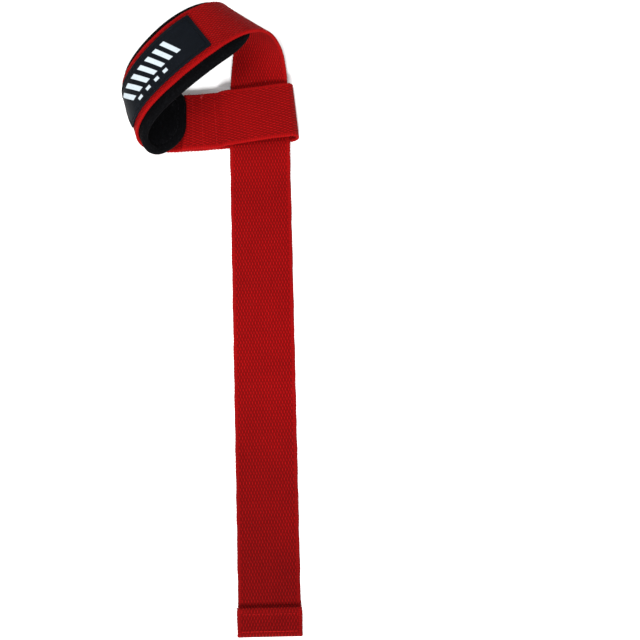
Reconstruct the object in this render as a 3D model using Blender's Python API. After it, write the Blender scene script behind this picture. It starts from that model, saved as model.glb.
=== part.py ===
"""Padded wrist strap: one strip of webbing that closes a wrist loop through its own end loop.

The wrist loop is a straight strip wrapped round a cone whose tip lies beyond the loop on the
ground, so each ruling line of the webbing points at that tip. The side near the tip then leans
over a little, as soft webbing does. The origin is under the middle of the flat tail, which runs
along -Y to its hem.
"""

import math

import bmesh
import bpy
import numpy as np

MM = 0.001
DEGREE = math.pi / 180

# Webbing
WEBBING_WIDTH = 38.0 * MM
WEBBING_THICKNESS = 2.0 * MM
LAYER_GAP = 0.3 * MM
TAIL_LENGTH = 342.0 * MM
HEM_LENGTH = 17.5 * MM
WRIST_LOOP = 270.0 * MM
EDGE_CLEARANCE = 0.5 * MM
FOLD_BACK = 52.0 * MM
SEAM_TO_TAIL = 6.0 * MM
MOUTH_GAPE = 4.5 * MM
MOUTH_LIFT = 2.2 * MM
FOLD_RADIUS = 6.0 * MM
TAIL_RAMP = 24.0 * MM

# Wrist pad
PAD_WIDTH = 49.0 * MM
PAD_SHIFT = 1.0 * MM
PAD_THICKNESS = 5.0 * MM
PAD_LENGTH = 150.5 * MM
PAD_TO_CROSSING = 48.5 * MM
# Its corners on the tip side are round, and those on the open side sweep far back
PAD_CORNER = 15.0 * MM
PAD_SWEEP = 30.0 * MM
PAD_SWEEP_DEPTH = 22.0 * MM

# Label patch
LABEL_WIDTH = 29.5 * MM
LABEL_LENGTH = 72.5 * MM
LABEL_THICKNESS = 1.2 * MM
LABEL_FROM_CROSSING = 105.5 * MM
LABEL_CORNER = 1.0 * MM

# The wrist loop as its cone's tip sees it: turn of the loop from side to side, and its rise
LOOP_TURN = 38.4 * DEGREE
LOOP_RISE = 16.5 * DEGREE
CROSSING_TURN = -44.0 * DEGREE
# The side near the tip leans over by this much and slides along, eased in and out from the crossing
LEAN_RIGHT = 8.0 * MM
LEAN_UP = 2.0 * MM
LEAN_SLIDE = 5.0 * MM
LEAN_FROM_TAIL = 90.0 * MM
LEAN_TO_BASE = 120.0 * MM
# It also bulges outwards under the label, this far along from the crossing
BULGE = 6.5 * MM
BULGE_MIDDLE = 118.0 * MM
BULGE_REACH = 52.0 * MM

# name, share of LOOP_TURN past the crossing, share of LOOP_RISE
LOOP_ROUTE = (
    ("tail", -0.90, 0.00),
    ("tail", -0.60, 0.00),
    ("tail", -0.30, 0.00),
    ("crossing", 0.00, 0.00),
    ("lift", 0.16, 0.00),
    ("lift", 0.27, 0.02),
    ("near turn", 0.365, 0.20),
    ("near turn", 0.38, 0.50),
    ("near turn", 0.31, 0.77),
    ("top", 0.13, 0.92),
    ("top", -0.09, 0.93),
    ("top", -0.26, 0.89),
    ("far turn", -0.41, 0.81),
    ("far turn", -0.53, 0.64),
    ("far turn", -0.57, 0.40),
    ("far turn", -0.53, 0.16),
    ("base", -0.43, 0.05),
    ("base", -0.30, 0.01),
    ("base", -0.16, 0.00),
    ("crossing", 0.00, 0.00),
    ("end", 0.16, 0.00),
    ("end", 0.32, 0.00),
)


def smooth_step(value, start, end):
    """Zero before start, one after end, and an S curve between them."""
    share = np.clip((value - start) / (end - start), 0.0, 1.0)
    return share * share * (3 - 2 * share)


def b_spline(points, steps):
    """Cubic B-spline that the points pull along, with its second derivative unbroken."""
    points = np.asarray(points, float)
    t = np.linspace(0, 1, steps, endpoint=False)[:, None]
    weights = (
        (1 - t) ** 3 / 6,
        (3 * t**3 - 6 * t**2 + 4) / 6,
        (-3 * t**3 + 3 * t**2 + 3 * t + 1) / 6,
        t**3 / 6,
    )
    spans = []
    for start in range(len(points) - 3):
        spans.append(sum(weight * points[start + k] for k, weight in enumerate(weights)))
    return np.concatenate(spans)


class Wrap:
    """The cone that the wrist loop lies on, and the flat ground that carries on from it."""

    def __init__(self):
        route = [(CROSSING_TURN + turn * LOOP_TURN, rise * LOOP_RISE) for _, turn, rise in LOOP_ROUTE]
        dense = b_spline(route, 80)
        turn, rise = dense[:, 0], dense[:, 1]
        ray = np.stack([np.cos(rise) * np.cos(turn), np.cos(rise) * np.sin(turn), np.sin(rise)], 1)
        step = np.linalg.norm(np.diff(ray, axis=0), axis=1)
        self.angle = turn[0] + np.concatenate([[0], np.cumsum(step)])
        self.ray = ray
        slope = np.gradient(ray, self.angle, axis=0)
        self.slope = slope / np.linalg.norm(slope, axis=1)[:, None]
        self.closing = (self.angle[-1] - turn[-1]) / 2
        self.half_loop = WRIST_LOOP / 2
        self.reach = self.half_loop / math.tan(self.closing)
        self.tip = np.array([-self.reach, self.half_loop, WEBBING_THICKNESS / 2])
        heading = math.pi / 2 - 2 * self.closing
        beside = (WEBBING_WIDTH / 2 + EDGE_CLEARANCE) / math.cos(heading)
        self.beside = beside + WEBBING_WIDTH / 2 * math.tan(heading)

    def ray_at(self, angle):
        """Ray from the tip and the way it turns, at a flat angle; level outside the route."""
        before, after = angle < self.angle[0], angle > self.angle[-1]
        level = np.where(before, angle, angle - 2 * self.closing)
        level_ray = np.stack([np.cos(level), np.sin(level), 0 * level], -1)
        level_slope = np.stack([-np.sin(level), np.cos(level), 0 * level], -1)
        ray = np.stack([np.interp(angle, self.angle, self.ray[:, k]) for k in range(3)], -1)
        slope = np.stack([np.interp(angle, self.angle, self.slope[:, k]) for k in range(3)], -1)
        flat = (before | after)[..., None]
        return np.where(flat, level_ray, ray), np.where(flat, level_slope, slope)

    def point(self, along, across, lift):
        """Place on the strip: along it from the loop's middle, across it, and in from its middle layer."""
        lean = smooth_step(along, -self.half_loop, -self.half_loop + LEAN_FROM_TAIL)
        lean = lean * smooth_step(-along, -self.half_loop, -self.half_loop + LEAN_TO_BASE)
        tip_side = 0.5 - across / WEBBING_WIDTH
        from_bulge = np.abs(along + self.half_loop - BULGE_MIDDLE)
        bulge = BULGE * tip_side * smooth_step(-from_bulge, -BULGE_REACH, 0)
        along = along + LEAN_SLIDE * lean * tip_side
        across = np.clip(across, -0.6 * self.reach, None)
        distance = np.hypot(along, self.reach + across)
        ray, slope = self.ray_at(np.arctan2(along, self.reach + across))
        inward = np.cross(ray, slope)
        inward /= np.linalg.norm(inward, axis=-1)[..., None]
        place = self.tip + distance[..., None] * ray + (lift - bulge)[..., None] * inward
        place += (lean * tip_side)[..., None] * np.array([LEAN_RIGHT, LEAN_UP, 0])
        return place + np.array([0, TAIL_LENGTH / 2, 0])


def build_body(name, rings, colour, roughness):
    """One closed body from rings of points: its sides, and a strip of faces over each end ring."""
    count, size = rings.shape[:2]
    faces = []
    for ring in range(count - 1):
        for k in range(size):
            after = (k + 1) % size
            faces.append((ring * size + k, ring * size + after, (ring + 1) * size + after, (ring + 1) * size + k))
    half = size // 2
    for base in (0, (count - 1) * size):
        for k in range(half - 1):
            faces.append((base + k, base + k + 1, base + size - 3 - k, base + size - 2 - k))
        faces.append((base, base + size - 2, base + size - 1))
    mesh = bpy.data.meshes.new(name)
    mesh.from_pydata(rings.reshape(-1, 3).tolist(), [], faces)
    shape = bmesh.new()
    shape.from_mesh(mesh)
    bmesh.ops.recalc_face_normals(shape, faces=shape.faces)
    bmesh.ops.triangulate(shape, faces=shape.faces)
    shape.to_mesh(mesh)
    shape.free()
    mesh.shade_smooth()
    mesh.set_sharp_from_angle(angle=40 * DEGREE)
    mesh.materials.append(make_material(name, colour, roughness))
    item = bpy.data.objects.new(name, mesh)
    bpy.context.scene.collection.objects.link(item)
    return item


def make_material(name, colour, roughness):
    """A plain Principled material."""
    material = bpy.data.materials.new(name)
    material.use_nodes = True
    shader = material.node_tree.nodes["Principled BSDF"]
    shader.inputs["Base Color"].default_value = (*colour, 1.0)
    shader.inputs["Roughness"].default_value = roughness
    shader.inputs["Metallic"].default_value = 0.0
    return material


def section(half_width, half_thick, columns, round_steps):
    """Places across and through the thickness, round one section: over the top, down an edge, and back."""
    flat = half_width - half_thick
    across = [flat * share for share in np.linspace(-1, 1, columns)]
    angles = [math.pi / 2 - math.pi * k / (round_steps + 1) for k in range(1, round_steps + 1)]
    edge = [(flat + half_thick * math.cos(angle), half_thick * math.sin(angle)) for angle in angles]
    top = [(place, half_thick) for place in across]
    bottom = [(place, -half_thick) for place in reversed(across)]
    back = [(-place, -depth) for place, depth in edge]
    return np.array(top + edge + bottom + back)


def strip_path(wrap, across):
    """The webbing's middle layer, as places along and lifts, for each place across the strip."""
    half_thick = WEBBING_THICKNESS / 2
    layer = WEBBING_THICKNESS + LAYER_GAP
    half = wrap.half_loop
    fold = layer / 2
    end = -half - TAIL_LENGTH
    fold_at = end + fold + half_thick
    turn = np.linspace(math.pi, 2 * math.pi, 9)
    along = [np.linspace(end + HEM_LENGTH, fold_at + 1 * MM, 4), fold_at + fold * np.sin(turn)]
    lift = [np.full(4, layer), fold - fold * np.cos(turn)]
    raised = -half - wrap.beside
    ramp_from = raised - TAIL_RAMP
    outer = half + wrap.beside + WEBBING_THICKNESS
    tail = np.linspace(fold_at + 2 * MM, ramp_from, 12)
    ramp = np.linspace(ramp_from, raised, 8)[1:]
    loop = np.linspace(raised, outer - FOLD_RADIUS, 84)[1:]
    run = np.concatenate([tail, ramp, loop])
    climb = smooth_step(run, ramp_from, raised)
    settle = smooth_step(run, -half + wrap.beside, -half + wrap.beside + 2 * TAIL_RAMP)
    along.append(run)
    lift.append(layer * climb * (1 - settle))
    along = np.concatenate(along)[:, None] + 0 * across
    lift = np.concatenate(lift)[:, None] + 0 * across

    edge_share = 0.5 + across / WEBBING_WIDTH
    mouth = 2 * layer + MOUTH_LIFT + (MOUTH_GAPE - MOUTH_LIFT) * edge_share**1.5
    turn = np.linspace(0, math.pi, 11)[:, None]
    bend_at = outer - half_thick - mouth / 2
    bend_along = bend_at + mouth / 2 * np.sin(turn)
    bend_lift = mouth / 2 - mouth / 2 * np.cos(turn)

    beside_tail = half - wrap.beside
    sewn = beside_tail - SEAM_TO_TAIL
    back = np.concatenate([
        np.linspace(outer - FOLD_RADIUS, beside_tail, 10),
        np.linspace(beside_tail, sewn, 6)[1:],
        np.linspace(sewn, half - FOLD_BACK, 7)[1:],
    ])[:, None]
    over = smooth_step(back, sewn, beside_tail)
    gape = smooth_step(back, sewn, outer - FOLD_RADIUS)
    back_lift = layer + layer * over + (mouth - 2 * layer) * gape
    back = back + 0 * across
    along = np.concatenate([along, bend_along, back])
    lift = np.concatenate([lift, bend_lift, back_lift])
    return along, lift


def build_strap(wrap):
    """The webbing: hem, tail, wrist loop, base band and the end loop folded back over the tail."""
    shape = section(WEBBING_WIDTH / 2, WEBBING_THICKNESS / 2, 7, 1)
    across, depth = shape[:, 0], shape[:, 1]
    along, lift = strip_path(wrap, across)
    run = np.gradient(along, axis=0)
    rise = np.gradient(lift, axis=0)
    size = np.hypot(run, rise)
    rings = wrap.point(along - depth * rise / size, across + 0 * along, lift + depth * run / size)
    return build_body("webbing_strap", rings, (0.45, 0.010, 0.016), 0.85)


def pad_lift(wrap, along):
    """How far in the pad's underside lies: on the webbing, and over the folded-back end."""
    half = wrap.half_loop
    over = smooth_step(along, half - FOLD_BACK - 3 * PAD_THICKNESS, half - FOLD_BACK - 0.2 * PAD_THICKNESS)
    return WEBBING_THICKNESS / 2 + LAYER_GAP + (WEBBING_THICKNESS + LAYER_GAP) * over


def rounded_stations(start, length, corner, ease, step):
    """Places along a pad, close together at its two rounded ends."""
    near = [0.0, 0.15 * ease, 0.5 * ease, ease]
    near += [corner * share for share in (0.18, 0.3, 0.5, 0.75, 1.0) if corner * share > ease]
    inner = np.linspace(corner, length - corner, max(3, int((length - 2 * corner) / step)))[1:-1]
    far = [length - place for place in reversed(near)]
    return start + np.array(near + list(inner) + far)


def pad_side(inset, run, depth):
    """How far the pad reaches from its middle to one side, at a place in from its end, where that
    side's corner is a quarter ellipse of this run and depth."""
    share = max(run - inset, 0) / run
    return PAD_WIDTH / 2 - depth * (1 - math.sqrt(1 - share**2))


def build_pad(wrap):
    """The lining pad: wider than the webbing, with rounded corners and edges."""
    ease = PAD_THICKNESS / 2
    start = wrap.half_loop - PAD_TO_CROSSING - PAD_LENGTH
    stations = rounded_stations(start, PAD_LENGTH, PAD_SWEEP, ease, 4 * MM)
    rings = []
    for along in stations:
        inset = min(along - start, start + PAD_LENGTH - along)
        tip_side = pad_side(inset, PAD_CORNER, PAD_CORNER)
        open_side = pad_side(inset, PAD_SWEEP, PAD_SWEEP_DEPTH)
        rounding = max(ease - inset, 0) / ease
        half_thick = PAD_THICKNESS / 2 * (0.3 + 0.7 * math.sqrt(1 - rounding**2))
        shape = section((tip_side + open_side) / 2, half_thick, 9, 3)
        across = shape[:, 0] + PAD_SHIFT + (open_side - tip_side) / 2
        depth = shape[:, 1]
        place = np.full_like(across, along)
        rings.append(wrap.point(place, across, pad_lift(wrap, place) + PAD_THICKNESS / 2 + depth))
    return build_body("wrist_pad", np.array(rings), (0.012, 0.012, 0.014), 0.8)


def build_label(wrap):
    """The patch on the outer face of the loop, with slightly rounded corners."""
    start = -wrap.half_loop + LABEL_FROM_CROSSING
    stations = rounded_stations(start, LABEL_LENGTH, LABEL_CORNER, LABEL_THICKNESS / 4, 3.5 * MM)
    middle = WEBBING_THICKNESS / 2 + LAYER_GAP + LABEL_THICKNESS / 2
    rings = []
    for along in stations:
        inset = min(along - start, start + LABEL_LENGTH - along)
        corner = max(LABEL_CORNER - inset, 0)
        half_width = LABEL_WIDTH / 2 - LABEL_CORNER + math.sqrt(LABEL_CORNER**2 - corner**2)
        shape = section(half_width, LABEL_THICKNESS / 2, 7, 1)
        across, depth = shape[:, 0], shape[:, 1]
        rings.append(wrap.point(np.full_like(across, along), across, -middle + depth))
    return build_body("label_patch", np.array(rings), (0.012, 0.016, 0.024), 0.6)


def main():
    for item in list(bpy.data.objects):
        bpy.data.objects.remove(item, do_unlink=True)
    wrap = Wrap()
    build_strap(wrap)
    build_pad(wrap)
    build_label(wrap)


if __name__ == "__main__":
    main()
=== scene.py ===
"""Dress the padded wrist strap: woven webbing, foam pad, moulded patch, stitching and studio."""

import math

import bmesh
import bpy
import numpy as np
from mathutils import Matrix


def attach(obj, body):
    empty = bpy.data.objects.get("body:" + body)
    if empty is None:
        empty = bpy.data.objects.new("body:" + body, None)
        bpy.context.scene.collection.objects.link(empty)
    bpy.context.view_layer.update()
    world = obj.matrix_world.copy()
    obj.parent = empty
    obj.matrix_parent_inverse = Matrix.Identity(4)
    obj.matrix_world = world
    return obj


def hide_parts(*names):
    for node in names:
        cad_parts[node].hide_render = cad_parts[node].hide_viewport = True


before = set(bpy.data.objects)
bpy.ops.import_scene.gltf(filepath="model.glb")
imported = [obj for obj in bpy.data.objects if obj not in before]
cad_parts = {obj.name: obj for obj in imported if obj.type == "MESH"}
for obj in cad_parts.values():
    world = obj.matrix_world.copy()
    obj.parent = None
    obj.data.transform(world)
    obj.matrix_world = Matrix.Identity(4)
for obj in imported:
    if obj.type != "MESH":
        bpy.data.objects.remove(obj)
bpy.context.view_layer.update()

bl_info = {
    "name": "Padded Wrist Strap",
    "version": (1, 0, 0),
    "blender": (4, 5, 0),
    "location": "3D View > Sidebar > Strap",
    "description": "Webbing, wrist pad, patch, stitching and studio for a padded wrist strap",
    "category": "Object",
}

MM = 0.001
DEGREE = math.pi / 180

# Webbing, as in the part
WEBBING_WIDTH = 38.0 * MM
WEBBING_THICKNESS = 2.0 * MM
LAYER_GAP = 0.3 * MM
LAYER = WEBBING_THICKNESS + LAYER_GAP
TAIL_LENGTH = 342.0 * MM
HEM_LENGTH = 17.5 * MM
WRIST_LOOP = 270.0 * MM
EDGE_CLEARANCE = 0.5 * MM
FOLD_BACK = 52.0 * MM
SEAM_TO_TAIL = 6.0 * MM
MOUTH_GAPE = 4.5 * MM
MOUTH_LIFT = 2.2 * MM
FOLD_RADIUS = 6.0 * MM
TAIL_RAMP = 24.0 * MM

# Wrist pad
PAD_WIDTH = 49.0 * MM
PAD_SHIFT = 1.0 * MM
PAD_THICKNESS = 5.0 * MM
PAD_LENGTH = 150.5 * MM
PAD_TO_CROSSING = 48.5 * MM
PAD_CORNER = 15.0 * MM
PAD_SWEEP = 30.0 * MM
PAD_SWEEP_DEPTH = 22.0 * MM
PAD_SEAM = 6.0 * MM

# Patch
PATCH_WIDTH = 29.5 * MM
PATCH_LENGTH = 72.5 * MM
PATCH_THICKNESS = 1.2 * MM
PATCH_FROM_CROSSING = 105.5 * MM
PATCH_CORNER = 1.0 * MM
PATCH_SEAM = 2.2 * MM

# each corner's run and depth, on the tip side and on the open side
PAD_CORNERS = ((PAD_CORNER, PAD_CORNER), (PAD_SWEEP, PAD_SWEEP_DEPTH))
PATCH_CORNERS = ((PATCH_CORNER, PATCH_CORNER), (PATCH_CORNER, PATCH_CORNER))

# The wrist loop as its cone's tip sees it
LOOP_TURN = 38.4 * DEGREE
LOOP_RISE = 16.5 * DEGREE
CROSSING_TURN = -44.0 * DEGREE
LEAN_RIGHT = 8.0 * MM
LEAN_UP = 2.0 * MM
LEAN_SLIDE = 5.0 * MM
LEAN_FROM_TAIL = 90.0 * MM
LEAN_TO_BASE = 120.0 * MM
BULGE = 6.5 * MM
BULGE_MIDDLE = 118.0 * MM
BULGE_REACH = 52.0 * MM

# share of LOOP_TURN past the crossing, share of LOOP_RISE
LOOP_ROUTE = (
    # tail
    (-0.90, 0.00),
    (-0.60, 0.00),
    (-0.30, 0.00),
    # crossing
    (0.00, 0.00),
    # lift
    (0.16, 0.00),
    (0.27, 0.02),
    # near turn
    (0.365, 0.20),
    (0.38, 0.50),
    (0.31, 0.77),
    # top
    (0.13, 0.92),
    (-0.09, 0.93),
    (-0.26, 0.89),
    # far turn
    (-0.41, 0.81),
    (-0.53, 0.64),
    (-0.57, 0.40),
    (-0.53, 0.16),
    # base
    (-0.43, 0.05),
    (-0.30, 0.01),
    (-0.16, 0.00),
    # crossing
    (0.00, 0.00),
    # end
    (0.16, 0.00),
    (0.32, 0.00),
)

# Webbing as it is woven
RING_STEP = 1.05 * MM
ROUTE_STEPS = 80
HEM_FOLD_STEPS = 11
END_FOLD_STEPS = 17
WEBBING_COLUMNS = 35
EDGE_STEPS = 5
SELVEDGE_SEED = 11
SELVEDGE = 2.6 * MM
SELVEDGE_BEAD = 0.10
RAW_EDGE_CURL = 1.1 * MM
CURL_REACH = 6.0 * MM
HEM_SPREAD = 0.035
FLOAT_SLANT = 0.08
# share of the webbing's colour left at the hem end: painted shade standing in for light falling off down the
# tail
PAINTED_FALLOFF_SHADE = 0.60

# Marks on the patch: slanted bars and short dashes. Each reach is its middle, counted from the
# patch's middle, then its half width and the width of its soft edge
BAR_PITCH = 6.4 * MM
BAR_SLANT = 0.36
BARS_ALONG = (3.2 * MM, 21.6 * MM, 0.2 * MM)
BARS_ACROSS = (-2.6 * MM, 6.6 * MM, 0.3 * MM)
DASH_PITCH = 7.2 * MM
DASHES_ALONG = (7.2 * MM, 14.0 * MM, 0.2 * MM)
DASHES_ACROSS = (8.2 * MM, 1.15 * MM, 0.25 * MM)

# Steps round each corner of the pad and the patch, and along their rounded ends
CORNER_STEPS = 25
EASE_STEPS = 28

# Sewing
STITCH_POINTS = 7
STITCH_SINK = 0.05 * MM
PAD_STITCH = 2.4 * MM
PAD_STITCH_PITCH = 3.1 * MM
PATCH_STITCH = 1.7 * MM
PATCH_STITCH_PITCH = 2.3 * MM

# what the place along is counted from, place along, half length across, bow, stitch, pitch, in mm
RED_ROWS = (
    # across the sewn zone, from the pad to the tunnel
    ("crossing", -44.0, 16.5, 0.20, 2.1, 2.6),
    ("crossing", -37.5, 16.5, 0.20, 2.1, 2.6),
    ("crossing", -28.6, 17.0, 0.20, 2.1, 2.6),
    # across the hem
    ("raw edge", -4.0, 16.0, 0.20, 2.1, 2.7),
    ("fold", 2.6, 17.0, 0.25, 2.6, 2.7),
)

# place past the crossing, place across, height above the layer's middle, run, swing, curl, in mm
LOOSE_THREADS = (
    # sewn zone
    (-38.2, -18.4, 3.4, 1.0, 4.8, 0.4),
    (-37.6, -18.8, 3.5, 0.4, 6.0, 0.7),
    (-37.0, -18.2, 3.4, -1.2, 4.0, 0.5),
    (-37.4, -17.8, 3.3, 1.6, -2.2, 0.5),
    # base edge
    (-45.0, 18.6, 1.2, -1.8, 1.6, 0.4),
    (-30.5, 18.7, 1.5, 2.0, 1.2, 0.5),
    (-47.5, -18.6, 3.0, 1.2, -1.7, 0.5),
    (-24.0, -18.9, 3.2, -1.6, -1.2, 0.4),
)

# side of the hem, run along and swing outwards of each loose end at its raw edge, in mm
HEM_THREADS = ((-1, 1.6, 3.2), (-1, -0.4, 3.6), (-1, 0.9, 2.6), (1, 1.4, 0.9))

# Studio: place, aim and size of each lamp, and the camera at the photo's angle
KEY_LAMP = ((-0.05, -1.30, 1.05), (0, 0.1, 0), 0.4)
TOP_LAMP = ((-0.25, 0.15, 0.9), (0, 0.15, 0), 0.5)
TOP_SHARE = 0.12
CAMERA_PLACE = (0.0110, -0.9403, 2.4107)
CAMERA_TURN = (22 * DEGREE, 0, -1.4 * DEGREE)
FLOOR_STEPS = 40
FLOOR_DROP = 0.12 * MM


def smooth_step(value, start, end):
    """Zero before start, one after end, and an S curve of three squares less two cubes between."""
    share = np.clip((value - start) / (end - start), 0.0, 1.0)
    return share * share * (3 - 2 * share)


def b_spline(points, steps):
    """Cubic B-spline: each place is the four nearest points weighed by the usual cubic shares."""
    points = np.asarray(points, float)
    t = np.linspace(0, 1, steps, endpoint=False)[:, None]
    weights = (
        (1 - t) ** 3 / 6,
        (3 * t**3 - 6 * t**2 + 4) / 6,
        (-3 * t**3 + 3 * t**2 + 3 * t + 1) / 6,
        t**3 / 6,
    )
    spans = []
    for start in range(len(points) - 3):
        spans.append(sum(weight * points[start + k] for k, weight in enumerate(weights)))
    return np.concatenate(spans)


class Wrap:
    """The cone that the wrist loop lies on, and the flat ground that carries on from it."""

    def __init__(self):
        route = [(CROSSING_TURN + turn * LOOP_TURN, rise * LOOP_RISE) for turn, rise in LOOP_ROUTE]
        dense = b_spline(route, ROUTE_STEPS)
        turn, rise = dense[:, 0], dense[:, 1]
        ray = np.stack([np.cos(rise) * np.cos(turn), np.cos(rise) * np.sin(turn), np.sin(rise)], 1)
        step = np.linalg.norm(np.diff(ray, axis=0), axis=1)
        self.angle = turn[0] + np.concatenate([[0], np.cumsum(step)])
        self.ray = ray
        slope = np.gradient(ray, self.angle, axis=0)
        self.slope = slope / np.linalg.norm(slope, axis=1)[:, None]
        self.closing = (self.angle[-1] - turn[-1]) / 2
        self.half_loop = WRIST_LOOP / 2
        self.reach = self.half_loop / math.tan(self.closing)
        self.tip = np.array([-self.reach, self.half_loop, WEBBING_THICKNESS / 2])
        heading = math.pi / 2 - 2 * self.closing
        beside = (WEBBING_WIDTH / 2 + EDGE_CLEARANCE) / math.cos(heading)
        self.beside = beside + WEBBING_WIDTH / 2 * math.tan(heading)

    def ray_at(self, angle):
        """Ray from the tip and the way it turns, at a flat angle; level outside the route."""
        before, after = angle < self.angle[0], angle > self.angle[-1]
        level = np.where(before, angle, angle - 2 * self.closing)
        level_ray = np.stack([np.cos(level), np.sin(level), 0 * level], -1)
        level_slope = np.stack([-np.sin(level), np.cos(level), 0 * level], -1)
        ray = np.stack([np.interp(angle, self.angle, self.ray[:, k]) for k in range(3)], -1)
        slope = np.stack([np.interp(angle, self.angle, self.slope[:, k]) for k in range(3)], -1)
        flat = (before | after)[..., None]
        return np.where(flat, level_ray, ray), np.where(flat, level_slope, slope)

    def point(self, along, across, lift):
        """Tip, plus distance times the ray at the unrolled angle, plus the lift along the inward
        normal; the tip side also leans, slides and bulges by its share of the width."""
        lean = smooth_step(along, -self.half_loop, -self.half_loop + LEAN_FROM_TAIL)
        lean = lean * smooth_step(-along, -self.half_loop, -self.half_loop + LEAN_TO_BASE)
        tip_side = 0.5 - across / WEBBING_WIDTH
        from_bulge = np.abs(along + self.half_loop - BULGE_MIDDLE)
        bulge = BULGE * tip_side * smooth_step(-from_bulge, -BULGE_REACH, 0)
        along = along + LEAN_SLIDE * lean * tip_side
        across = np.clip(across, -0.6 * self.reach, None)
        distance = np.hypot(along, self.reach + across)
        ray, slope = self.ray_at(np.arctan2(along, self.reach + across))
        inward = np.cross(ray, slope)
        inward /= np.linalg.norm(inward, axis=-1)[..., None]
        place = self.tip + distance[..., None] * ray + (lift - bulge)[..., None] * inward
        place += (lean * tip_side)[..., None] * np.array([LEAN_RIGHT, LEAN_UP, 0])
        return place + np.array([0, TAIL_LENGTH / 2, 0])


WRAP = Wrap()


def stations(start, end, step=RING_STEP):
    """Evenly spaced places from start to just before end, about a step apart."""
    return np.linspace(start, end, max(3, int(abs(end - start) / step) + 1), endpoint=False)


def strip_path(across):
    """The webbing's middle layer from hem to folded-back end: places along it and lifts, one column
    for each place across. Ramps are S curves, bends are half circles, and the hem's raw edge curls
    up by an S curve."""
    half_thick = WEBBING_THICKNESS / 2
    half = WRAP.half_loop
    fold = LAYER / 2
    end = -half - TAIL_LENGTH
    fold_at = end + fold + half_thick
    turn = np.linspace(math.pi, 2 * math.pi, HEM_FOLD_STEPS)
    raw_edge = end + HEM_LENGTH
    raw_end = stations(raw_edge, fold_at)
    raised = -half - WRAP.beside
    ramp_from = raised - TAIL_RAMP
    outer = half + WRAP.beside + WEBBING_THICKNESS
    run = stations(fold_at + RING_STEP, outer - FOLD_RADIUS)
    climb = smooth_step(run, ramp_from, raised)
    settle = smooth_step(run, -half + WRAP.beside, -half + WRAP.beside + 2 * TAIL_RAMP)
    along = np.concatenate([raw_end, fold_at + fold * np.sin(turn), run])[:, None] + 0 * across
    curl = RAW_EDGE_CURL * (1 - smooth_step(-raw_end, -raw_edge, CURL_REACH - raw_edge))
    lift = [LAYER + curl, fold - fold * np.cos(turn), LAYER * climb * (1 - settle)]
    lift = np.concatenate(lift)[:, None] + 0 * across

    edge_share = 0.5 + across / WEBBING_WIDTH
    mouth = 2 * LAYER + MOUTH_LIFT + (MOUTH_GAPE - MOUTH_LIFT) * edge_share**1.5
    turn = np.linspace(0, math.pi, END_FOLD_STEPS)[:, None]
    bend_at = outer - half_thick - mouth / 2
    bend_along = bend_at + mouth / 2 * np.sin(turn)
    bend_lift = mouth / 2 - mouth / 2 * np.cos(turn)
    beside_tail = half - WRAP.beside
    sewn = beside_tail - SEAM_TO_TAIL
    back = stations(outer - FOLD_RADIUS, half - FOLD_BACK)[:, None]
    over = smooth_step(back, sewn, beside_tail)
    gape = smooth_step(back, sewn, outer - FOLD_RADIUS)
    back_lift = LAYER + LAYER * over + (mouth - 2 * LAYER) * gape
    along = np.concatenate([along, bend_along, back + 0 * across])
    lift = np.concatenate([lift, bend_lift, back_lift])
    return along, lift


def section(half_width, half_thick, columns, round_steps):
    """Places across and through, round one section: over the top, down a half circle, and back."""
    flat = half_width - half_thick
    across = np.linspace(-flat, flat, columns)
    angle = math.pi / 2 - math.pi * np.arange(1, round_steps + 1) / (round_steps + 1)
    edge = np.stack([flat + half_thick * np.cos(angle), half_thick * np.sin(angle)], 1)
    top = np.stack([across, 0 * across + half_thick], 1)
    return np.concatenate([top, edge, -top, -edge])


def place_mesh(name, points, faces, flat_map, material):
    """One closed mesh at the origin, with its own cloth map in metres along and across."""
    mesh = bpy.data.meshes.new(name)
    listed = [face for group in faces for face in group.tolist()]
    mesh.from_pydata(points.reshape(-1, 3).tolist(), [], listed)
    layer = mesh.uv_layers.new(name="cloth")
    corner = np.empty(len(mesh.loops), dtype=np.int32)
    mesh.loops.foreach_get("vertex_index", corner)
    layer.data.foreach_set("uv", flat_map.reshape(-1, 2)[corner].astype(np.float32).ravel())
    shape = bmesh.new()
    shape.from_mesh(mesh)
    bmesh.ops.remove_doubles(shape, verts=shape.verts, dist=0.002 * MM)
    bmesh.ops.recalc_face_normals(shape, faces=shape.faces)
    shape.to_mesh(mesh)
    shape.free()
    mesh.shade_smooth()
    mesh.materials.append(material)
    item = bpy.data.objects.new(name, mesh)
    bpy.context.scene.collection.objects.link(item)
    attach(item, "root")
    return item


def ring_faces(count, size, start=0):
    """Quads between neighbouring rings, as whole arrays."""
    ring, k = np.meshgrid(np.arange(count - 1), np.arange(size), indexing="ij")
    after = (k + 1) % size
    quads = [ring * size + k, ring * size + after, (ring + 1) * size + after, (ring + 1) * size + k]
    return start + np.stack(quads, -1).reshape(-1, 4)


def end_faces(base, columns, round_steps):
    """Quads over one end ring, and a small fan polygon at each of its round edges."""
    k = np.arange(columns - 1)
    mirror = 2 * columns + round_steps - 1 - k
    quads = np.stack([k, k + 1, mirror - 1, mirror], 1)
    right = np.arange(columns - 1, columns + round_steps + 1)[None]
    left = np.append(np.arange(2 * columns + round_steps - 1, 2 * (columns + round_steps)), 0)[None]
    return [base + quads, base + right, base + left]


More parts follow.
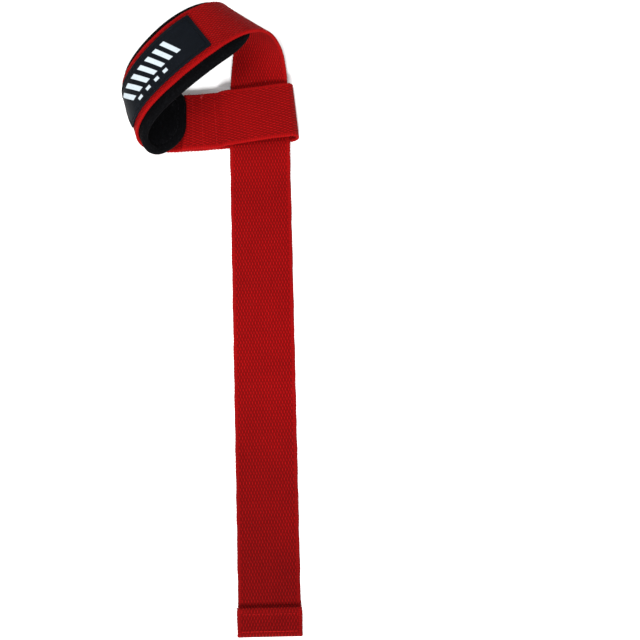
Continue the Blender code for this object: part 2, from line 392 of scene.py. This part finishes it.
def build_webbing(material, selvedge_jag):
    """Webbing: a rounded flat section carried along the strip's path. Its edges are a little thicker
    and jog in and out by a tooth every other ring plus a slow wander of two sines multiplied, and
    the hem spreads by an S curve."""
    shape = section(WEBBING_WIDTH / 2, WEBBING_THICKNESS / 2, WEBBING_COLUMNS, EDGE_STEPS)
    across, depth = shape[:, 0], shape[:, 1]
    along, lift = strip_path(across)
    run = np.gradient(along, axis=0)
    rise = np.gradient(lift, axis=0)
    size = np.hypot(run, rise)
    count = len(along)
    ring = np.arange(count)[:, None]
    random = np.random.default_rng(SELVEDGE_SEED)
    tooth = np.where(ring % 2 == 0, 1.0, -1.0) * random.uniform(0.4, 1.0, (count, 1))
    wander = np.sin(ring * 0.31) * np.sin(ring * 0.113 + 1.0)
    at_edge = smooth_step(np.abs(across), WEBBING_WIDTH / 2 - SELVEDGE, WEBBING_WIDTH / 2)
    jag = selvedge_jag * (tooth + 0.8 * wander - 0.6)
    steps = np.hypot(np.diff(along[:, 0]), np.diff(lift[:, 0]))
    material_along = np.concatenate([[0], np.cumsum(steps)])
    spread = HEM_SPREAD * (1 - smooth_step(material_along, 1.3 * HEM_LENGTH, 2.4 * HEM_LENGTH))
    side = (across + np.sign(across) * at_edge * jag) * (1 + spread[:, None])
    edge = WEBBING_WIDTH / 2
    depth = depth * (1 + SELVEDGE_BEAD * smooth_step(np.abs(across), edge - SELVEDGE, edge - 1.2 * MM))
    rings = WRAP.point(along - depth * rise / size, side, lift + depth * run / size)
    flat_map = np.stack([material_along[:, None] + 0 * across, across + 0 * along], -1)
    ring_size = len(shape)
    faces = [ring_faces(count, ring_size)]
    for base in (0, (count - 1) * ring_size):
        faces += end_faces(base, WEBBING_COLUMNS, EDGE_STEPS)
    webbing = place_mesh("webbing", rings, faces, flat_map, material)
    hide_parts("webbing_strap")
    return webbing


def side_reach(inset, half_width, corner):
    """Half width less the part of a quarter ellipse, of this run and depth, that the corner takes."""
    share = np.clip((corner[0] - inset) / corner[0], 0, 1)
    return half_width - corner[1] * (1 - np.sqrt(1 - share**2))


def outline(start, length, half_width, shift, corners, inset=0.0):
    """Loop of places round a flat piece, a given distance in: four quarter ellipses, two for the
    tip side's corner and two for the open side's, joined by straight sides."""
    first, last = start + inset, start + length - inset
    tip, far = [np.maximum(np.array(corner) - inset, 0.4 * MM) for corner in corners]
    tip_edge, far_edge = shift - half_width + inset, shift + half_width - inset
    pivots = (
        (last - far[0], far_edge - far[1], far),
        (first + far[0], far_edge - far[1], far),
        (first + tip[0], tip_edge + tip[1], tip),
        (last - tip[0], tip_edge + tip[1], tip),
    )
    places = []
    for quarter, (along, across, corner) in enumerate(pivots):
        turn = (quarter + np.linspace(0, 1, CORNER_STEPS)) * math.pi / 2
        swing = corner[:, None] * np.stack([np.cos(turn), np.sin(turn)])
        places.append(np.stack([along + swing[0], across + swing[1]], -1))
    return np.concatenate(places)


def distance_in(places, loop):
    """Least distance from each place to the loop's straight pieces."""
    step = np.roll(loop, -1, 0) - loop
    away = places[..., None, :] - loop
    share = np.clip((away * step).sum(-1) / np.maximum((step**2).sum(-1), 1e-12), 0, 1)
    return np.linalg.norm(away - share[..., None] * step, axis=-1).min(-1)


def slab(name, start, length, half_width, shift, corners, step, height, lift, material):
    """A flat piece on the strip with rounded corners: a top and an under side over one grid of
    places, their heights given by how far each place lies in from the outline."""
    longest = max(corners[0][0], corners[1][0], 4 * MM)
    ease = longest * (1 - np.cos(np.linspace(0, math.pi / 2, EASE_STEPS)))
    middle = np.linspace(longest, length - longest, int((length - 2 * longest) / step))[1:-1]
    inset = np.concatenate([ease, middle, length - ease[::-1]])
    to_end = np.minimum(inset, length - inset)
    tip_side = side_reach(to_end, half_width, corners[0])[:, None]
    far_side = side_reach(to_end, half_width, corners[1])[:, None]
    rim = np.array([0, 0.004, 0.012, 0.025, 0.045, 0.07, 0.1])
    inner = np.linspace(0.12, 0.88, max(5, int(1.5 * half_width / step)))
    share = np.concatenate([rim, inner, 1 - rim[::-1]])
    across = shift - tip_side + (tip_side + far_side) * share
    along = start + inset[:, None] + 0 * across
    loop = outline(start, length, half_width, shift, corners)
    depth_in = distance_in(np.stack([along, across], -1), loop)
    depth_in[[0, -1]] = 0
    depth_in[:, [0, -1]] = 0
    upper, under = height(depth_in, along, across)
    base = lift(along)
    sides = [WRAP.point(along, across, base + side) for side in (upper, -under)]
    rows, columns = along.shape
    row, column = np.meshgrid(np.arange(rows - 1), np.arange(columns - 1), indexing="ij")
    first = (row * columns + column).reshape(-1)
    quads = np.stack([first, first + 1, first + columns + 1, first + columns], 1)
    flat_map = np.stack([np.stack([along, across], -1)] * 2)
    faces = [quads, quads[:, ::-1] + rows * columns]
    return place_mesh(name, np.stack(sides), faces, flat_map, material)


def pad_base(along):
    """Lift of the pad's middle: on the webbing, and one layer further over the folded-back end."""
    inner_end = WRAP.half_loop - FOLD_BACK
    over = smooth_step(along, inner_end - 3 * PAD_THICKNESS, inner_end - 0.2 * PAD_THICKNESS)
    return WEBBING_THICKNESS / 2 + LAYER_GAP + LAYER * over + PAD_THICKNESS / 2


def pad_height(depth_in, along, across):
    """Half thickness of the pad: a quarter circle at the rim, a sewn dip 6 mm in, and a slow swell
    of two crossed sines between."""
    rim = PAD_THICKNESS / 2
    edge = np.sqrt(np.clip(1 - (1 - np.clip(depth_in / rim, 0, 1)) ** 2, 0, 1))
    seam = np.exp(-(((depth_in - PAD_SEAM) / (0.9 * MM)) ** 2))
    swell = 0.5 + 0.5 * np.sin(along / (9.5 * MM)) * np.cos(across / (8 * MM))
    upper = rim * edge * (1 - 0.30 * seam - 0.05 * swell)
    return upper, rim * edge * (1 - 0.06 * seam)


def build_pad(material):
    """The foam pad, with its rim, sewn channel and swell."""
    start = WRAP.half_loop - PAD_TO_CROSSING - PAD_LENGTH
    pad = slab(
        "pad", start, PAD_LENGTH, PAD_WIDTH / 2, PAD_SHIFT, PAD_CORNERS, 1.0 * MM,
        pad_height, pad_base, material,
    )
    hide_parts("wrist_pad")
    return pad


def patch_height(depth_in, along, across):
    """Half thickness of the patch: a small rim, then a pressed line round it with a raised border
    outside and the face a little lower inside."""
    rim = PATCH_THICKNESS / 2
    edge = np.sqrt(np.clip(1 - (1 - np.clip(depth_in / (0.5 * MM), 0, 1)) ** 2, 0, 1))
    line = np.exp(-(((depth_in - PATCH_SEAM) / (0.42 * MM)) ** 2))
    face = smooth_step(depth_in, PATCH_SEAM, PATCH_SEAM + 1.0 * MM)
    under = rim * edge * (1 - 0.62 * line - 0.22 * face)
    return rim * edge, under


def patch_base(along):
    """Lift of the patch's middle on the outer face of the webbing."""
    return 0 * along - WEBBING_THICKNESS / 2 - LAYER_GAP - PATCH_THICKNESS / 2


def build_patch(material):
    """The patch on the outer face of the wrist loop."""
    start = -WRAP.half_loop + PATCH_FROM_CROSSING
    patch = slab(
        "patch", start, PATCH_LENGTH, PATCH_WIDTH / 2, 0.0, PATCH_CORNERS, 0.45 * MM,
        patch_height, patch_base, material,
    )
    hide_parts("label_patch")
    return patch


def tube_mesh(name, routes, radius, material, ring_size=6):
    """Thin threads: a circle carried along each route of strip places, thinner at both ends."""
    routes = np.asarray(routes)
    threads, count = routes.shape[:2]
    places = WRAP.point(routes[..., 0], routes[..., 1], routes[..., 2])
    run = np.gradient(places, axis=1)
    run /= np.linalg.norm(run, axis=-1)[..., None]
    side = np.cross(run, np.array([0.31, 0.17, 0.93]))
    side /= np.linalg.norm(side, axis=-1)[..., None]
    upward = np.cross(side, run)
    share = np.linspace(-1, 1, count)
    taper = radius * np.sqrt(np.clip(1.02 - share**6, 0, 1))[None, :, None, None]
    turn = 2 * math.pi * np.arange(ring_size) / ring_size
    circle = np.cos(turn)[:, None] * side[:, :, None, :] + np.sin(turn)[:, None] * upward[:, :, None, :]
    rings = places[:, :, None, :] + taper * circle
    faces = []
    ends = np.arange(ring_size)[None]
    for thread in range(threads):
        start = thread * count * ring_size
        faces.append(ring_faces(count, ring_size, start))
        faces.append(np.concatenate([start + ends[:, ::-1], start + (count - 1) * ring_size + ends]))
    flat_map = np.broadcast_to(routes[:, :, None, :2], rings.shape[:-1] + (2,))
    return place_mesh(name, rings, faces, np.ascontiguousarray(flat_map), material)


def stitch_row(start, end, lift, bow, length, spacing):
    """Stitches in a straight row from start to end, both along and across: each is a short arch
    that rises by bow in its middle and sinks at its ends."""
    start, end = np.asarray(start, float), np.asarray(end, float)
    total = np.linalg.norm(end - start)
    count = max(1, int(round(total / spacing)))
    middle = (np.arange(count) + 0.5) / count
    t = np.linspace(-0.5, 0.5, STITCH_POINTS)
    share = middle[:, None] + t * length / total
    flat = start + share[..., None] * (end - start)
    height = lift + bow * (1 - (2 * t) ** 2)
    return np.concatenate([flat, (height + 0 * share)[..., None]], -1)


def outline_stitches(loop, lift, bow, stitch, spacing):
    """Stitches round a loop of places at an even pace, each an arch as in a straight row."""
    loop = np.concatenate([loop, loop[:1]])
    walked = np.concatenate([[0], np.cumsum(np.linalg.norm(np.diff(loop, axis=0), axis=1))])
    count = int(walked[-1] / spacing)
    t = np.linspace(-0.5, 0.5, STITCH_POINTS)
    walk = (np.arange(count)[:, None] + 0.5) * walked[-1] / count + t * stitch
    along, across = (np.interp(walk % walked[-1], walked, loop[:, k]) for k in range(2))
    return np.stack([along, across, lift(along) + bow * (1 - (2 * t) ** 2)], -1)


def build_red_stitches(material, radius):
    """Thread rows across the sewn zone and the hem."""
    fold = -WRAP.half_loop - TAIL_LENGTH
    counted_from = {"crossing": WRAP.half_loop, "raw edge": fold + HEM_LENGTH, "fold": fold}
    height = LAYER + WEBBING_THICKNESS / 2 - STITCH_SINK
    rows = []
    for origin, place, reach, *sizes in RED_ROWS:
        along = counted_from[origin] + place * MM
        bow, stitch, pitch = np.array(sizes) * MM
        rows.append(stitch_row((along, -reach * MM), (along, reach * MM), height, bow, stitch, pitch))
    stitches = tube_mesh("red_stitches", np.concatenate(rows), radius, material)
    return stitches


def build_black_stitches(material, radius):
    """Seam round the pad's inner face and the fine seam pressed into the patch's border."""
    pad_start = WRAP.half_loop - PAD_TO_CROSSING - PAD_LENGTH
    pad = outline_stitches(
        outline(pad_start, PAD_LENGTH, PAD_WIDTH / 2, PAD_SHIFT, PAD_CORNERS, PAD_SEAM),
        lambda along: pad_base(along) + 0.62 * PAD_THICKNESS / 2, 0.35 * MM, PAD_STITCH, PAD_STITCH_PITCH,
    )
    patch_start = -WRAP.half_loop + PATCH_FROM_CROSSING
    patch = outline_stitches(
        outline(patch_start, PATCH_LENGTH, PATCH_WIDTH / 2, 0.0, PATCH_CORNERS, PATCH_SEAM),
        lambda along: patch_base(along) - 0.28 * PATCH_THICKNESS, -0.2 * MM, PATCH_STITCH, PATCH_STITCH_PITCH,
    )
    stitches = tube_mesh("black_stitches", np.concatenate([pad, patch]), radius, material)
    return stitches


def build_threads(material, radius):
    """Loose ends at the seams and fine fluff along the edges: bent lines of a few millimetres."""
    half = WRAP.half_loop
    t = np.linspace(0, 1, STITCH_POINTS)
    routes = []
    for place, across, lift, run, swing, curl in LOOSE_THREADS:
        along = half + (place + run * t + curl * np.sin(5 * t)) * MM
        side = (across + swing * t * (1 - 0.35 * t)) * MM
        routes.append(np.stack([along, side, (lift + 0.5 * np.sin(math.pi * t)) * MM], -1))
    hem = -half - TAIL_LENGTH + HEM_LENGTH
    for side, run, swing in HEM_THREADS:
        along = hem + (run * t - 0.4) * MM
        across = side * (WEBBING_WIDTH / 2 - 0.6 * MM + swing * t * MM)
        routes.append(np.stack([along, across, LAYER + (1.2 + 0.6 * np.sin(3 * t)) * MM], -1))
    threads = tube_mesh("loose_threads", routes, radius, material, 5)
    return threads


class Term:
    """One output socket, with arithmetic that adds its Math nodes."""

    def __init__(self, graph, socket):
        self.graph, self.socket = graph, socket

    def maths(self, operation, *others):
        inputs = {k: value for k, value in enumerate((self, *others))}
        return self.graph.node("ShaderNodeMath", {"operation": operation}, inputs)

    def __add__(self, other):
        return self.maths("ADD", other)

    def __sub__(self, other):
        return self.maths("SUBTRACT", other)

    def __rsub__(self, other):
        return self.graph.node("ShaderNodeMath", {"operation": "SUBTRACT"}, {0: other, 1: self})

    def __mul__(self, other):
        return self.maths("MULTIPLY", other)

    def __truediv__(self, other):
        return self.maths("DIVIDE", other)

    __radd__ = __add__
    __rmul__ = __mul__


class Graph:
    """A material's node tree."""

    def __init__(self, name):
        self.material = bpy.data.materials.new(name)
        self.material.use_nodes = True
        self.tree = self.material.node_tree
        self.shader = self.tree.nodes["Principled BSDF"]

    def node(self, kind, settings=None, inputs=None, output=0):
        """Add a node, set it up, then fill its sockets with values or links."""
        node = self.tree.nodes.new(kind)
        for key, value in (settings or {}).items():
            setattr(node, key, value)
        for key, value in (inputs or {}).items():
            self.fill(node.inputs[key], value)
        return Term(self, node.outputs[output])

    def fill(self, socket, value):
        """Link a term, or set a plain value."""
        if isinstance(value, Term):
            self.tree.links.new(value.socket, socket)
        else:
            socket.default_value = value

    def strip(self):
        """Places along and across the cloth, in metres, from the piece's own map."""
        place = self.node("ShaderNodeUVMap", {"uv_map": "cloth"})
        return (
            self.node("ShaderNodeSeparateXYZ", inputs={0: place}, output=0),
            self.node("ShaderNodeSeparateXYZ", inputs={0: place}, output=1),
        )

    def noise(self, scale, detail=3.0):
        """Noise on Object coordinates, in cycles for each metre."""
        place = self.node("ShaderNodeTexCoord", output=3)
        inputs = {"Vector": place, "Scale": scale, "Detail": detail, "Roughness": 0.55}
        return self.node("ShaderNodeTexNoise", inputs=inputs)

    def cloth_noise(self, along_scale, across_scale, detail=2.0):
        """Noise on the cloth map, with its own scale each way."""
        place = self.node("ShaderNodeUVMap", {"uv_map": "cloth"})
        scale = (along_scale, across_scale, 1.0)
        place = self.node("ShaderNodeMapping", inputs={"Vector": place, "Scale": scale})
        return self.node("ShaderNodeTexNoise", inputs={"Vector": place, "Scale": 1.0, "Detail": detail})

    def wave(self, term, pitch):
        """Sine with the given pitch in metres."""
        return (term * (2 * math.pi / pitch)).maths("SINE")

    def ramp(self, term, low, high):
        """Zero to one between two values, with soft ends."""
        settings = {"interpolation_type": "SMOOTHSTEP"}
        inputs = {"Value": term, "From Min": low, "From Max": high}
        return self.node("ShaderNodeMapRange", settings, inputs)

    def within(self, term, middle, half, edge):
        """One where a term lies within half of a middle, falling to zero over the edge."""
        return 1.0 - self.ramp((term - middle).maths("ABSOLUTE"), half, half + edge)

    def solid(self, colour):
        """A colour property with its alpha, as a socket takes it."""
        return (*colour, 1.0)

    def blend(self, share, first, second):
        """Mix two colours."""
        settings = {"data_type": "RGBA"}
        return self.node("ShaderNodeMix", settings, {0: share, 6: first, 7: second}, output=2)

    def shade(self, share, first, second):
        """Multiply a colour by a grey between two values."""
        grey = self.node("ShaderNodeMix", {"data_type": "FLOAT"}, {0: share, 2: first, 3: second})
        return self.node("ShaderNodeCombineColor", inputs={0: grey, 1: grey, 2: grey})

    def times(self, colour, grey):
        """Colour times colour, in full."""
        settings = {"data_type": "RGBA", "blend_type": "MULTIPLY"}
        return self.node("ShaderNodeMix", settings, {0: 1.0, 6: colour, 7: grey}, output=2)

    def finish(self, colour, roughness, height, depth, **uniform):
        """Fill the shader: colour, roughness, a bump of the given depth, and even values by name."""
        self.fill(self.shader.inputs["Base Color"], colour)
        self.fill(self.shader.inputs["Roughness"], roughness)
        bump = self.node("ShaderNodeBump", inputs={"Height": height, "Distance": depth, "Strength": 1.0})
        self.fill(self.shader.inputs["Normal"], bump)
        for name, value in uniform.items():
            self.shader.inputs[name.replace("_", " ")].default_value = value
        return self.material


def webbing_material(look):
    """Woven webbing: staggered floats of warp yarn with dark gaps, smoother brighter selvedges."""
    graph = Graph("woven_webbing")
    along, across = graph.strip()
    wobble = graph.cloth_noise(140.0, 300.0) - 0.5
    cell = across / look.yarn_pitch + 40.0 + 0.5 * wobble
    column = cell.maths("FLOOR")
    row = along / look.float_pitch + 40.0 + 0.5 * column.maths("MODULO", 2.0) + 0.25 * wobble
    cell_name = graph.node("ShaderNodeCombineXYZ", inputs={0: column, 1: row.maths("FLOOR")})
    dash = graph.node("ShaderNodeTexWhiteNoise", {"noise_dimensions": "2D"}, {"Vector": cell_name})
    y = (row.maths("FRACT") - 0.5) * 2.0
    x = (cell - column - 0.5) * 2.0 + FLOAT_SLANT * y
    over = 1.0 - graph.ramp(y.maths("ABSOLUTE"), 0.12, 0.66)
    yarn = (1.0 - 0.9 * x * x).maths("MAXIMUM", 0.0) * (0.30 + (0.52 + 0.30 * dash) * over)
    from_middle = across.maths("ABSOLUTE")
    edge = graph.ramp(from_middle, WEBBING_WIDTH / 2 - SELVEDGE, WEBBING_WIDTH / 2 - SELVEDGE + 0.5 * MM)
    selvedge = 0.48 + 0.12 * graph.wave(along, 1.25 * MM) + 0.10 * graph.wave(across, 0.62 * MM)
    height = yarn * (1.0 - edge) + selvedge * edge
    fibre = graph.cloth_noise(900.0, 5200.0)
    patchy = graph.noise(38.0, 4.0)
    height = height + 0.22 * fibre
    lit = graph.ramp(height, 0.10, 1.05)
    tone = graph.blend(lit, graph.solid(look.gap_colour), graph.solid(look.yarn_colour))
    tone = graph.times(tone, graph.shade(patchy, 0.80, 1.20))
    # painted shade: the colour darkens towards the hem end, standing in for the light falling off down the
    # tail
    tone = graph.times(tone, graph.shade(graph.ramp(along, 0.03, 0.22), PAINTED_FALLOFF_SHADE, 1.0))
    roughness = 0.86 - 0.10 * height
    return graph.finish(
        tone, roughness, height, 0.42 * MM, Specular_IOR_Level=0.04, Sheen_Weight=0.02,
        Sheen_Roughness=0.5, Sheen_Tint=(0.9, 0.25, 0.25, 1),
    )


def pad_material(look):
    """Black knit over foam: fine ribs of loops, a little lint and soft unevenness."""
    graph = Graph("knit_faced_foam")
    along, across = graph.strip()
    loops = graph.wave(across, 0.62 * MM) * 0.5 + 0.25 * graph.wave(along, 0.80 * MM)
    lint = graph.noise(900.0, 2.0)
    broad = graph.noise(60.0, 3.0)
    height = 0.5 + 0.5 * loops + 0.5 * lint + 0.8 * broad
    lit = graph.ramp(lint, 0.42, 0.80)
    tone = graph.blend(lit, graph.solid(look.knit_colour), graph.solid(look.lint_colour))
    tone = graph.times(tone, graph.shade(broad, 0.8, 1.2))
    roughness = 0.70 + 0.16 * broad
    return graph.finish(tone, roughness, height, 0.16 * MM, Specular_IOR_Level=0.02, Sheen_Weight=0.004)


def patch_material(look):
    """Blue-black moulded patch: fine grain, a row of plain slanted bars and a row of short dashes
    under it, printed pale."""
    graph = Graph("moulded_patch")
    along, across = graph.strip()
    start = -WRAP.half_loop + PATCH_FROM_CROSSING
    run = along - (start + PATCH_LENGTH * 0.5)
    slant = run + BAR_SLANT * across
    bar = ((slant / BAR_PITCH + 40.0).maths("FRACT") - 0.5).maths("ABSOLUTE")
    bars = 1.0 - graph.ramp(bar, 0.235, 0.275)
    bars = bars * graph.within(across, *BARS_ACROSS)
    bars = bars * graph.within(slant, *BARS_ALONG)
    dash = ((run / DASH_PITCH + 40.0).maths("FRACT") - 0.5).maths("ABSOLUTE")
    dashes = 1.0 - graph.ramp(dash, 0.20, 0.25)
    dashes = dashes * graph.within(across, *DASHES_ACROSS)
    dashes = dashes * graph.within(run, *DASHES_ALONG)
    grain = graph.noise(1500.0, 3.0)
    broad = graph.noise(90.0, 2.0)
    worn = graph.ramp(grain, 0.30, 0.52)
    mark = (bars + dashes) * (0.86 + 0.14 * worn)
    tone = graph.times(graph.solid(look.face_colour), graph.shade(broad, 0.75, 1.25))
    tone = graph.blend(mark, tone, graph.solid(look.mark_colour))
    roughness = 0.50 + 0.14 * grain
    height = grain + 0.9 * mark
    return graph.finish(tone, roughness, height, 0.10 * MM, Specular_IOR_Level=0.05)


def thread_material(name, colour):
    """Twisted sewing thread: slanted ply lines along it."""
    graph = Graph(name)
    along, across = graph.strip()
    ply = graph.wave(along + 0.8 * across, 0.5 * MM)
    fuzz = graph.noise(2500.0, 2.0)
    height = 0.5 + 0.5 * ply + 0.3 * fuzz
    tone = graph.times(graph.solid(colour), graph.shade(ply * 0.5 + 0.5, 0.75, 1.2))
    return graph.finish(tone, 0.66 + 0.1 * fuzz, height, 0.06 * MM, Specular_IOR_Level=0.08)


def floor_material(colour):
    """Plain pale floor with the faintest unevenness."""
    graph = Graph("pale_floor")
    broad = graph.noise(3.0, 2.0)
    tone = graph.times(graph.solid(colour), graph.shade(broad, 0.995, 1.0))
    return graph.finish(tone, 0.9 - 0.02 * broad, broad, 0.01 * MM, Specular_IOR_Level=0.1)


def build_floor(size, material):
    """A flat square grid just under the strap. Past six tenths of its size from the middle it rises
    by 0.8 times the square of the distance beyond that."""
    side = FLOOR_STEPS + 1
    steps = np.linspace(-size, size, side)
    x, y = np.meshgrid(steps, steps, indexing="ij")
    far = np.maximum(np.hypot(x, y) - 0.6 * size, 0)
    points = np.stack([x, y, far**2 * 0.8 - FLOOR_DROP], -1)
    row, column = np.meshgrid(np.arange(FLOOR_STEPS), np.arange(FLOOR_STEPS), indexing="ij")
    first = (row * side + column).reshape(-1)
    quads = np.stack([first, first + side, first + side + 1, first + 1], 1)
    mesh = bpy.data.meshes.new("floor")
    mesh.from_pydata(points.reshape(-1, 3).tolist(), [], quads.tolist())
    mesh.shade_smooth()
    mesh.materials.append(material)
    floor = bpy.data.objects.new("floor", mesh)
    bpy.context.scene.collection.objects.link(floor)


def add_lamp(name, place, aim, size, power):
    """A square soft light at a place, turned to face another."""
    lamp = bpy.data.lights.new(name, "AREA")
    lamp.shape, lamp.size, lamp.energy = "SQUARE", size, power
    item = bpy.data.objects.new(name, lamp)
    item.location = place
    way = np.array(aim) - np.array(place)
    away = math.hypot(way[0], way[1])
    item.rotation_euler = (math.atan2(away, -way[2]), 0, math.atan2(way[1], way[0]) - math.pi / 2)
    bpy.context.scene.collection.objects.link(item)


class StrapWebbing(bpy.types.PropertyGroup):
    """Looks and sizes of the webbing and its red thread"""
    yarn_pitch: bpy.props.FloatProperty(
        name="Yarn pitch", description="Distance between yarns across the webbing",
        unit="LENGTH", precision=5,
        default=0.92 * MM, min=0.3 * MM, max=4 * MM)
    float_pitch: bpy.props.FloatProperty(
        name="Float pitch", description="Length along the webbing after which a yarn repeats",
        unit="LENGTH", precision=5,
        default=4.18 * MM, min=1 * MM, max=20 * MM)
    selvedge_jag: bpy.props.FloatProperty(
        name="Selvedge jag", description="How far the edges jog in and out", unit="LENGTH", precision=5,
        default=0.20 * MM, min=0, max=1 * MM)
    thread_radius: bpy.props.FloatProperty(
        name="Thread radius", description="Radius of the red sewing thread", unit="LENGTH", precision=5,
        default=0.24 * MM, min=0.05 * MM, max=1 * MM)
    loose_radius: bpy.props.FloatProperty(
        name="Loose end radius", description="Radius of the loose thread ends", unit="LENGTH", precision=5,
        default=0.13 * MM, min=0.03 * MM, max=1 * MM)
    yarn_colour: bpy.props.FloatVectorProperty(
        name="Yarn", description="Colour of the yarn where it lies on top", subtype="COLOR",
        default=(0.275, 0.0020, 0.0023), min=0, max=1)
    gap_colour: bpy.props.FloatVectorProperty(
        name="Gaps", description="Colour down between the yarns", subtype="COLOR",
        default=(0.085, 0.0004, 0.0005), min=0, max=1)
    thread_colour: bpy.props.FloatVectorProperty(
        name="Thread", description="Colour of the red sewing thread", subtype="COLOR",
        default=(0.25, 0.0028, 0.0030), min=0, max=1)
    loose_colour: bpy.props.FloatVectorProperty(
        name="Loose ends", description="Colour of the loose thread ends", subtype="COLOR",
        default=(0.34, 0.030, 0.032), min=0, max=1)


class StrapPad(bpy.types.PropertyGroup):
    """Looks of the pad and size of the dark thread"""
    thread_radius: bpy.props.FloatProperty(
        name="Thread radius", description="Radius of the dark sewing thread", unit="LENGTH", precision=5,
        default=0.20 * MM, min=0.05 * MM, max=1 * MM)
    knit_colour: bpy.props.FloatVectorProperty(
        name="Knit", description="Colour of the pad's knit face", subtype="COLOR",
        default=(0.0009, 0.0009, 0.0012), min=0, max=1)
    lint_colour: bpy.props.FloatVectorProperty(
        name="Lint", description="Colour of the loops that catch light", subtype="COLOR",
        default=(0.0026, 0.0028, 0.0034), min=0, max=1)


class StrapPatch(bpy.types.PropertyGroup):
    """Looks of the patch"""
    face_colour: bpy.props.FloatVectorProperty(
        name="Face", description="Colour of the moulded patch", subtype="COLOR",
        default=(0.0018, 0.0028, 0.0046), min=0, max=1)
    mark_colour: bpy.props.FloatVectorProperty(
        name="Marks", description="Colour of the printed bars", subtype="COLOR",
        default=(0.38, 0.43, 0.46), min=0, max=1)


class StrapStage(bpy.types.PropertyGroup):
    """Floor, camera and lights"""
    floor_colour: bpy.props.FloatVectorProperty(
        name="Floor", description="Colour of the floor", subtype="COLOR",
        default=(0.93, 0.93, 0.93), min=0, max=1)
    floor_size: bpy.props.FloatProperty(
        name="Floor size", description="Half the width of the floor", unit="LENGTH",
        default=4.0, min=1, max=20)
    lens: bpy.props.FloatProperty(
        name="Lens", description="Focal length in millimetres", default=237.2, min=20, max=600)
    key_power: bpy.props.FloatProperty(
        name="Key light", description="Power of the main light in watts", default=52.0, min=0, max=1000)
    sky: bpy.props.FloatProperty(
        name="Sky", description="Strength of the even white light all round", default=0.68, min=0, max=10)


class STRAP_OT_add_webbing(bpy.types.Operator):
    """Add the woven webbing, from its hem to its folded-back end"""
    bl_idname = "strap.add_webbing"
    bl_label = "Webbing"

    def execute(self, context):
        look = context.scene.strap_webbing
        build_webbing(webbing_material(look), look.selvedge_jag)
        return {"FINISHED"}


class STRAP_OT_add_pad(bpy.types.Operator):
    """Add the foam pad inside the wrist loop"""
    bl_idname = "strap.add_pad"
    bl_label = "Wrist pad"

    def execute(self, context):
        build_pad(pad_material(context.scene.strap_pad))
        return {"FINISHED"}


class STRAP_OT_add_patch(bpy.types.Operator):
    """Add the moulded patch on the wrist loop"""
    bl_idname = "strap.add_patch"
    bl_label = "Patch"

    def execute(self, context):
        build_patch(patch_material(context.scene.strap_patch))
        return {"FINISHED"}


class STRAP_OT_add_stitching(bpy.types.Operator):
    """Add the red and black rows of stitching and the loose thread ends"""
    bl_idname = "strap.add_stitching"
    bl_label = "Stitching and threads"

    def execute(self, context):
        red, dark = context.scene.strap_webbing, context.scene.strap_pad
        build_red_stitches(thread_material("red_thread", red.thread_colour), red.thread_radius)
        build_threads(thread_material("loose_thread", red.loose_colour), red.loose_radius)
        build_black_stitches(thread_material("black_thread", dark.lint_colour), dark.thread_radius)
        return {"FINISHED"}


class STRAP_OT_add_stage(bpy.types.Operator):
    """Add the floor, the soft lights and the camera"""
    bl_idname = "strap.add_stage"
    bl_label = "Studio"

    def execute(self, context):
        stage = context.scene.strap_stage
        build_floor(stage.floor_size, floor_material(stage.floor_colour))
        add_lamp("key", *KEY_LAMP, stage.key_power)
        add_lamp("top", *TOP_LAMP, TOP_SHARE * stage.key_power)
        world = bpy.data.worlds.new("studio")
        world.use_nodes = True
        backdrop = world.node_tree.nodes["Background"]
        backdrop.inputs["Color"].default_value = (1, 1, 1, 1)
        backdrop.inputs["Strength"].default_value = stage.sky
        context.scene.world = world
        context.scene.view_settings.view_transform = "Standard"
        camera = bpy.data.objects.new("camera", bpy.data.cameras.new("camera"))
        camera.data.sensor_width = 36
        camera.data.lens = stage.lens
        camera.location = CAMERA_PLACE
        camera.rotation_euler = CAMERA_TURN
        context.scene.collection.objects.link(camera)
        context.scene.camera = camera
        return {"FINISHED"}


class STRAP_PT_pieces(bpy.types.Panel):
    """Lists the strap's pieces"""
    bl_label = "Padded wrist strap"
    bl_space_type = "VIEW_3D"
    bl_region_type = "UI"
    bl_category = "Strap"

    def draw(self, context):
        scene = context.scene
        for operator in OPERATORS:
            self.layout.operator(operator.bl_idname)
        for group in (scene.strap_webbing, scene.strap_pad, scene.strap_patch, scene.strap_stage):
            for name in group.bl_rna.properties.keys():
                if name not in ("rna_type", "name"):
                    self.layout.prop(group, name)


OPERATORS = (
    STRAP_OT_add_webbing,
    STRAP_OT_add_pad,
    STRAP_OT_add_patch,
    STRAP_OT_add_stitching,
    STRAP_OT_add_stage,
)
GROUPS = {
    "strap_webbing": StrapWebbing,
    "strap_pad": StrapPad,
    "strap_patch": StrapPatch,
    "strap_stage": StrapStage,
}


def register():
    for name, group in GROUPS.items():
        bpy.utils.register_class(group)
        setattr(bpy.types.Scene, name, bpy.props.PointerProperty(type=group))
    for item in (*OPERATORS, STRAP_PT_pieces):
        bpy.utils.register_class(item)


def unregister():
    for item in (STRAP_PT_pieces, *reversed(OPERATORS)):
        bpy.utils.unregister_class(item)
    for name, group in reversed(GROUPS.items()):
        delattr(bpy.types.Scene, name)
        bpy.utils.unregister_class(group)


def main():
    """Make every piece in order."""
    register()
    bpy.ops.strap.add_stage()
    bpy.ops.strap.add_webbing()
    bpy.ops.strap.add_pad()
    bpy.ops.strap.add_patch()
    bpy.ops.strap.add_stitching()


if __name__ == "__main__":
    main()
